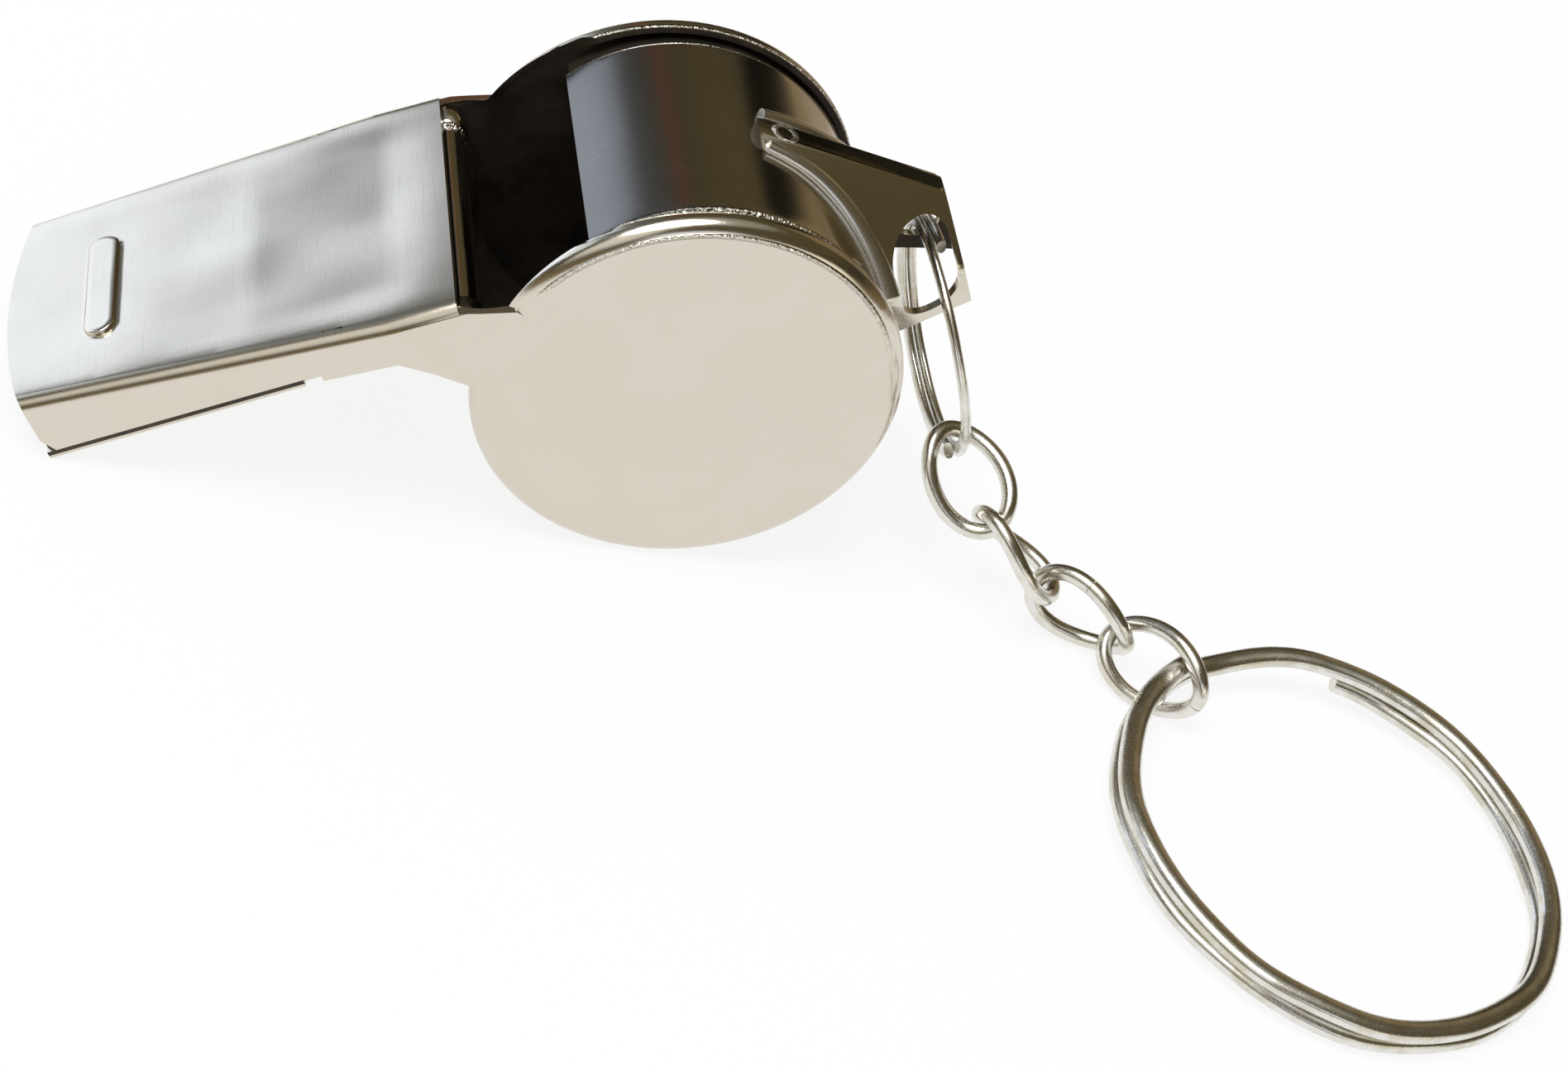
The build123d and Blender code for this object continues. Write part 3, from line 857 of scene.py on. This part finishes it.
def new_tree(name, sizes, shapes=()):
    """An empty geometry tree with named sizes and shapes to take in, its board and its input sockets."""
    tree = bpy.data.node_groups.new(name, "GeometryNodeTree")
    tree.interface.new_socket("Geometry", in_out="OUTPUT", socket_type="NodeSocketGeometry")
    for shape in shapes:
        tree.interface.new_socket(shape, in_out="INPUT", socket_type="NodeSocketGeometry")
    for size in sizes:
        tree.interface.new_socket(size, in_out="INPUT", socket_type="NodeSocketFloat")
    board = Board(tree)
    board.add("NodeGroupInput")
    entry = tree.nodes[-1]
    return tree, board, {size: Socket(board, entry.outputs[size]) for size in (*shapes, *sizes)}


def swept(board, place, profile, material, points):
    """Wire swept along the path that place gives, closed at its ends."""
    line = board.add("GeometryNodeCurvePrimitiveLine", {}, {"End": (1.0, 0.0, 0.0)})
    line = board.add("GeometryNodeResampleCurve", {}, {"Curve": line, "Count": points})
    path = board.add("GeometryNodeSetPosition", {}, {"Geometry": line, "Position": place})
    path = board.add("GeometryNodeSetCurveNormal", {"mode": "Z_UP"}, {"Curve": path})
    sweep_along(board, path, profile, material)


def sweep_along(board, path, profile, material, scale=1.0):
    """Carries a profile along a path, closed at its ends, and ends the tree."""
    inputs = {"Curve": path, "Profile Curve": profile, "Scale": scale, "Fill Caps": True}
    wire = board.add("GeometryNodeCurveToMesh", {}, inputs)
    wire = board.add("GeometryNodeSetShadeSmooth", {}, {"Geometry": wire})
    wire = board.add("GeometryNodeRealizeInstances", {}, {"Geometry": wire})
    wire = board.add("GeometryNodeSetMaterial", {}, {"Geometry": wire, "Material": material})
    board.add("NodeGroupOutput", {}, {0: wire})


def link_tree():
    """One twisted oval of round wire, its ends butted together on one side."""
    tree, board, size = new_tree("twisted_link", ["length", "width", "wire", "twist", "seam"])
    factor = board.add("GeometryNodeSplineParameter", out="Factor")
    turn = size["seam"] + factor * (2 * pi - link_seam_gap)
    high = (size["length"] - size["wire"]) / 2
    wide = (size["width"] - size["wire"]) / 2
    lift = turn.math("SINE")
    reach = turn.math("COSINE") * wide
    twisted = lift * size["twist"] / 2
    parts = {"X": reach * twisted.math("COSINE"), "Y": reach * twisted.math("SINE"), "Z": lift * high}
    place = board.add("ShaderNodeCombineXYZ", {}, parts)
    profile = {"Resolution": wire_sides, "Radius": size["wire"] / 2}
    round_wire = board.add("GeometryNodeCurvePrimitiveCircle", {}, profile)
    swept(board, place, round_wire, link_metal, link_points)
    return tree


def waves(turn, parts):
    """The sum of some sines of a turn."""
    sines = [(turn * rate + start).math("SINE") * share for rate, start, share in parts]
    return sum(sines[1:], sines[0])


def ring_tree():
    """A two-coil split ring: the wire climbs from the lower coil to the upper one over its step, and wavers."""
    names = ["diameter", "radial", "axial", "gap", "step", "start", "waver", "hand"]
    tree, board, size = new_tree("split_coil", names)
    factor = board.add("GeometryNodeSplineParameter", out="Factor")
    mean = (size["diameter"] - size["radial"]) / 2
    free = size["radial"] / mean
    whole = 4 * pi - size["step"] - 2 * free
    first = size["start"] + size["step"] + free - 2 * pi
    turn = first + factor * whole
    share = ((turn - size["start"]) / size["step"]).math("MINIMUM", 1.0).math("MAXIMUM", 0.0)
    eased = share * share * (3 - 2 * share)
    rise = size["axial"] + size["gap"]
    out = mean + waves(turn, waver_waves) * size["waver"]
    height = (eased - 0.5) * rise * size["hand"] + waves(turn, lift_waves) * size["waver"] * lift_share
    parts = {"X": out * turn.math("COSINE"), "Y": out * turn.math("SINE"), "Z": height}
    place = board.add("ShaderNodeCombineXYZ", {}, parts)
    wire = board.add("GeometryNodeCurvePrimitiveCircle", {}, {"Resolution": wire_sides, "Radius": 1.0})
    spot = board.add("GeometryNodeInputPosition")
    xyz = board.add("ShaderNodeSeparateXYZ", {}, {"Vector": spot})
    flat = {}
    for axis, across in (("X", size["radial"] / 2), ("Y", size["axial"] / 2)):
        part = xyz.other(axis)
        flat[axis] = part.math("SIGN") * part.math("ABSOLUTE") ** wire_roundness * across
    spot = board.add("ShaderNodeCombineXYZ", {}, flat)
    wire = board.add("GeometryNodeSetPosition", {}, {"Geometry": wire, "Position": spot})
    swept(board, place, wire, ring_metal, ring_points)
    return tree


def roll_tree():
    """Round rolls that follow the lines they are given and grow along them."""
    tree, board, size = new_tree("foot_rolls", ["radius", "growth"], ["Lines"])
    path = board.add("GeometryNodeMeshToCurve", {}, {"Mesh": size["Lines"]})
    along = board.add("GeometryNodeSplineParameter", out="Factor")
    section = board.add("GeometryNodeCurvePrimitiveCircle", {}, {"Resolution": roll_sides, "Radius": 1.0})
    sweep_along(board, path, section, roll_metal, size["radius"] + along * size["growth"])
    return tree


def made_by(tree, name, values, place, lines=()):
    """What a tree makes from these values, and from lines if it takes any, as a plain mesh in its place."""
    start = bpy.data.meshes.new(name)
    joints = [(i, i + 1) for i in range(len(lines) - 1) if (i + 1) % foot_points]
    start.from_pydata(lines, joints, [])
    piece = add_object(name, start)
    maker = piece.modifiers.new("maker", "NODES")
    maker.node_group = tree
    for item in tree.interface.items_tree:
        if item.in_out == "INPUT" and item.name in values:
            maker[item.identifier] = values[item.name]
    mesh = bpy.data.meshes.new_from_object(piece.evaluated_get(bpy.context.evaluated_depsgraph_get()))
    piece.modifiers.remove(maker)
    mesh.transform(place)
    piece.data = mesh
    mesh.name = name
    return piece


def heading(azimuth, slope):
    """Unit vector from a heading in the table's plane and a slope, in degrees."""
    level = cos(radians(slope))
    return Vector((level * cos(radians(azimuth)), level * sin(radians(azimuth)), sin(radians(slope))))


def turned(vector, axis, angle):
    """A vector turned about an axis, in degrees."""
    return Matrix.Rotation(radians(angle), 3, axis) @ vector


def standing(origin, x_dir, z_dir):
    """A placing on the table from a point in millimetres and two directions."""
    y_dir = z_dir.cross(x_dir)
    turn = Matrix((x_dir, y_dir, z_dir)).transposed().to_4x4()
    return Matrix.Translation(table_origin + origin * mm) @ turn


def wire_places():
    """Where the small ring, the links and the key ring stand, worked out as the source does."""
    to_table = Matrix.Translation((0, 0, drum_radius)) @ Matrix.Rotation(-pitch, 4, "Y")
    hole = Vector((drum_radius + lug_overhang - lug_hole_back, 0, lug_hole_level))
    hold = to_table @ (hole + Vector((small_ring_ahead, 0, -small_ring_drop)))
    lean, tilt = radians(small_ring_lean_angle), radians(small_ring_tilt_angle)
    hang = Vector((sin(lean) * cos(tilt), -sin(tilt), -cos(lean) * cos(tilt)))
    along = (Vector((0, 1, 0)) - hang * hang.y).normalized()
    along = turned(along, hang, small_ring_turn_angle)
    normal = along.cross(hang)
    mean = (small_ring_diameter - small_ring_radial) / 2
    middle = hold + hang * mean
    places = [standing(middle, hang, normal)]
    pull = turned(hang, normal, small_ring_pull_angle)
    ways = [heading(a, s) for a, s in zip(link_heading_angles, link_slope_angles)]
    half = (link_length - link_wire) / 2
    top = middle + pull * mean - ways[0] * ((link_wire + small_ring_radial) / 2 + small_ring_play)
    for i, way in enumerate(ways):
        side = turned(Vector((0, 0, 1)).cross(way).normalized(), way, link_roll_angles[i])
        places.append(standing(top + way * half, side, way))
        if i + 1 < len(ways):
            top = top + way * 2 * half - (way + ways[i + 1]).normalized() * (link_wire + link_gap)
    thick = 2 * key_ring_axial + coil_gap
    key_mean = (key_ring_diameter - key_ring_radial) / 2
    key_hold = top + ways[-1] * (2 * half - (link_wire / 2 + thick / 2 + key_ring_play))
    key_tilt = degrees(asin((key_hold.z - thick / 2) / (2 * key_mean)))
    key_out = heading(key_ring_heading_angle, -key_tilt)
    places.append(standing(key_hold + key_out * key_mean, key_out, heading(key_ring_heading_angle, 90 - key_tilt)))
    return places


def stand_for(piece, node, body):
    """A piece shown in place of a node, riding on a body."""
    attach(piece, body)
    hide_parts(node)


stand_for(body_shell(), "body_shell", "whistle")
stand_for(drum_strip(), "drum_band", "whistle")
stand_for(floor_sheet(), "mouthpiece_floor", "whistle")
stand_for(folded_lug(), "lanyard_lug", "whistle")
stand_for(cork_pea(), "pea", "pea")

roll_sizes = {"radius": foot_roll * mm, "growth": foot_roll_growth * mm}
feet = made_by(roll_tree(), "lug_feet", roll_sizes, Matrix(), [*lug_foot(-1), *lug_foot(1)])
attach(feet, "whistle")

places = wire_places()
links = link_tree()
rings = ring_tree()
link_sizes = {"length": link_length * mm, "width": link_width * mm, "wire": link_wire * mm}
link_sizes["twist"] = radians(link_twist_angle)
for number in range(1, len(link_heading_angles) + 1):
    values = {**link_sizes, "seam": link_seam_start + link_seam_turn * number}
    link = made_by(links, f"wire_link_{number}", values, places[number])
    stand_for(link, f"chain_link_{number}", f"link_{number}")

small_sizes = {
    "diameter": small_ring_diameter * mm,
    "radial": small_ring_radial * mm,
    "axial": small_ring_axial * mm,
    "gap": coil_gap * mm,
    "step": radians(small_ring_step_angle),
    "start": radians(small_ring_start_angle),
    "waver": small_ring_waver * mm,
    "hand": 1.0,
}
key_sizes = {
    "diameter": key_ring_diameter * mm,
    "radial": key_ring_radial * mm,
    "axial": key_ring_axial * mm,
    "gap": coil_gap * mm,
    "step": radians(key_ring_step_angle),
    "start": radians(key_ring_start_angle),
    "waver": key_ring_waver * mm,
    "hand": -1.0,
}
stand_for(made_by(rings, "small_coil", small_sizes, places[0]), "small_split_ring", "small_ring")
stand_for(made_by(rings, "key_coil", key_sizes, places[-1]), "key_ring", "key_ring")


def bare_rays(board):
    """1 for rays from the camera and for mirrored and refracted ones."""
    path = board.add("ShaderNodeLightPath", out="Is Camera Ray")
    return (path + path.other("Is Glossy Ray") + path.other("Is Transmission Ray")).math("MINIMUM", 1.0)


def plain_material(name):
    """A material with no nodes yet, and its board."""
    material = bpy.data.materials.new(name)
    material.use_nodes = True
    material.node_tree.nodes.clear()
    return material, Board(material.node_tree)


def table_top():
    """White table that keeps a faint shadow; the metal mirrors brown in it at the back right."""
    material, board = plain_material("white_table")
    place = board.add("ShaderNodeTexCoord", out="Object")
    x = board.add("ShaderNodeSeparateXYZ", {}, {"Vector": place})
    mirrored = board.add("ShaderNodeLightPath", out="Is Glossy Ray")
    behind = x.above(0.02, 0.03) * x.other("Y").above(0.05, 0.02) * mirrored
    colour = board.mix(behind, (1.0, 1.0, 1.0), (0.27, 0.185, 0.085))
    white = board.add("ShaderNodeEmission", {}, {"Color": colour, "Strength": 1.0})
    paper = board.add("ShaderNodeBsdfDiffuse", {}, {"Color": (0.86, 0.86, 0.86, 1)})
    shade = board.add("ShaderNodeMixShader", {}, {0: bare_rays(board) * table_white, 1: paper, 2: white})
    board.add("ShaderNodeOutputMaterial", {}, {"Surface": shade})
    bpy.ops.mesh.primitive_plane_add(size=table_size, location=(0, 0, -table_gap))
    floor = bpy.context.object
    floor.name = "table_top"
    floor.data.materials.append(material)


def studio_dome():
    """A dome of studio surroundings that only the metal mirrors: the paint depends on where it stands."""
    form = bmesh.new()
    bmesh.ops.create_uvsphere(form, u_segments=64, v_segments=32, radius=dome_radius)
    foot = Vector((0, 0, dome_radius * sin(radians(dome_foot_angle))))
    parts = [*form.verts, *form.edges, *form.faces]
    bmesh.ops.bisect_plane(form, geom=parts, dist=1e-7, plane_co=foot, plane_no=(0, 0, 1), clear_inner=True)
    bmesh.ops.reverse_faces(form, faces=form.faces)
    mesh = bpy.data.meshes.new("studio_dome")
    form.to_mesh(mesh)
    form.free()
    material, board = plain_material("studio_dome")
    coords = board.add("ShaderNodeTexCoord", out="Object")
    way = board.add("ShaderNodeVectorMath", {"operation": "NORMALIZE"}, {0: coords})
    parts = board.add("ShaderNodeSeparateXYZ", {}, {"Vector": way})
    azimuth = parts.other("Y").math("ARCTAN2", parts.other("X")) * (180 / pi)
    elevation = parts.other("Z").math("ARCSINE") * (180 / pi)
    glow = board.add("ShaderNodeEmission", {}, {"Color": dome_paint(board, azimuth, elevation), "Strength": 1.0})
    board.add("ShaderNodeOutputMaterial", {}, {"Surface": glow})
    dome = add_object("studio_dome", mesh, material)
    dome.visible_camera = False
    dome.visible_diffuse = False
    dome.visible_shadow = False


def dome_paint(board, azimuth, elevation):
    """The patches of paint, one over the other, on a dark ground."""
    paint = low_gloom
    for sides, heights, colour in dome_patches.values():
        paint = board.mix(span(azimuth, *sides) * span(elevation, *heights), paint, colour)
    return paint


table_top()
studio_dome()


def studio_light():
    """A soft lamp above the table."""
    lamp = bpy.data.lights.new("soft_top", "AREA")
    lamp.shape = "DISK"
    lamp.size = lamp_size
    lamp.energy = lamp_power
    holder = bpy.data.objects.new("soft_top", lamp)
    holder.location = lamp_place
    holder.rotation_euler = (-holder.location).to_track_quat("-Z", "Y").to_euler()
    bpy.context.scene.collection.objects.link(holder)


def surroundings():
    """White all round for the camera and the metal, and softer light on everything else."""
    world = bpy.data.worlds.new("white_room")
    bpy.context.scene.world = world
    world.use_nodes = True
    world.node_tree.nodes.clear()
    board = Board(world.node_tree)
    white = board.add("ShaderNodeBackground", {}, {"Color": (1, 1, 1, 1), "Strength": 1.0})
    soft = board.add("ShaderNodeBackground", {}, {"Color": (1, 1, 1, 1), "Strength": room_light})
    shade = board.add("ShaderNodeMixShader", {}, {0: bare_rays(board), 1: soft, 2: white})
    board.add("ShaderNodeOutputWorld", {}, {"Surface": shade})


def photo_camera():
    """The photograph's camera."""
    data = bpy.data.cameras.new("photo_camera")
    data.sensor_width = 36.0
    data.lens = camera_lens
    data.clip_start = 0.01
    data.clip_end = 20.0
    camera = bpy.data.objects.new("photo_camera", data)
    camera.location = table_origin + Vector(camera_place) * mm
    camera.rotation_euler = [radians(a) for a in camera_turn_angles]
    bpy.context.scene.collection.objects.link(camera)
    bpy.context.scene.camera = camera


studio_light()
surroundings()
photo_camera()
bpy.context.scene.view_settings.view_transform = "Standard"
